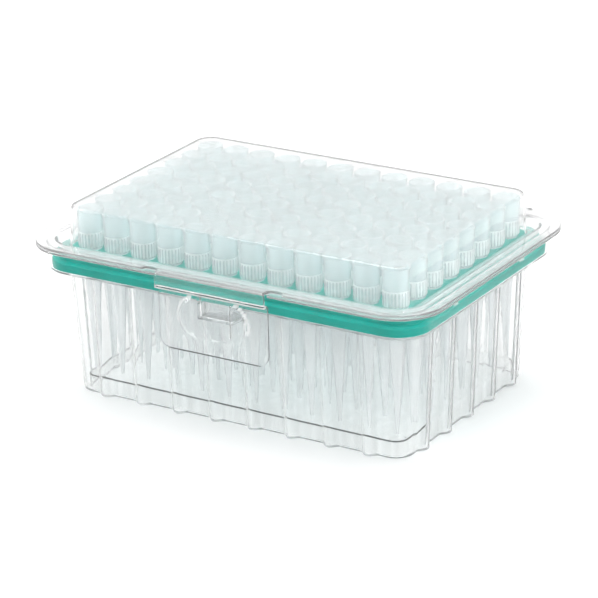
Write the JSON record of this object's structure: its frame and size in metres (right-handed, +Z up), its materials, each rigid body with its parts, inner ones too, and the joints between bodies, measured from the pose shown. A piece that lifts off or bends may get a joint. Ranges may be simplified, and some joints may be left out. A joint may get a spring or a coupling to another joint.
{
  "type": "box of pipette tips",
  "caption": "Clear formed box with a hinged lid and a fold-down latch tab, holding a moulded deck with a grid of tapered pipette tips.",
  "frame": {"origin": "on the table under the middle of the box's overall outline", "axes": "+X to the right along the long side, +Y from the latch tab to the hinge, +Z up"},
  "size_m": [0.1294, 0.0952, 0.0559],
  "materials": {
    "clear_sheet": "clear gloss",
    "deck_plastic": "satin",
    "tip_plastic": "translucent satin"
  },
  "bodies": {
    "base": {"base_tray": "clear_sheet", "tip_deck": "deck_plastic", "tip_column_01": "tip_plastic", "tip_column_02": "tip_plastic", "tip_column_03": "tip_plastic", "tip_column_04": "tip_plastic", "tip_column_05": "tip_plastic", "tip_column_06": "tip_plastic", "tip_column_07": "tip_plastic", "tip_column_08": "tip_plastic", "tip_column_09": "tip_plastic", "tip_column_10": "tip_plastic", "tip_column_11": "tip_plastic", "tip_column_12": "tip_plastic", "hinge_web": "clear_sheet"},
    "lid": {"lid": "clear_sheet", "tab_web": "clear_sheet"},
    "latch_tab": {"latch_tab": "clear_sheet"}
  },
  "joints": [
    {"name": "lid_hinge", "type": "hinge", "parent": "base", "child": "lid", "pos_m": [0, 0.04685, 0.04555], "axis": [-1, 0, 0], "range_deg": [0, 180], "deforming": ["hinge_web"]},
    {"name": "tab_fold", "type": "hinge", "parent": "lid", "child": "latch_tab", "pos_m": [0, -0.047, 0.0457], "axis": [-1, 0, 0], "range_deg": [0, 85], "deforming": ["tab_web"]}
  ]
}
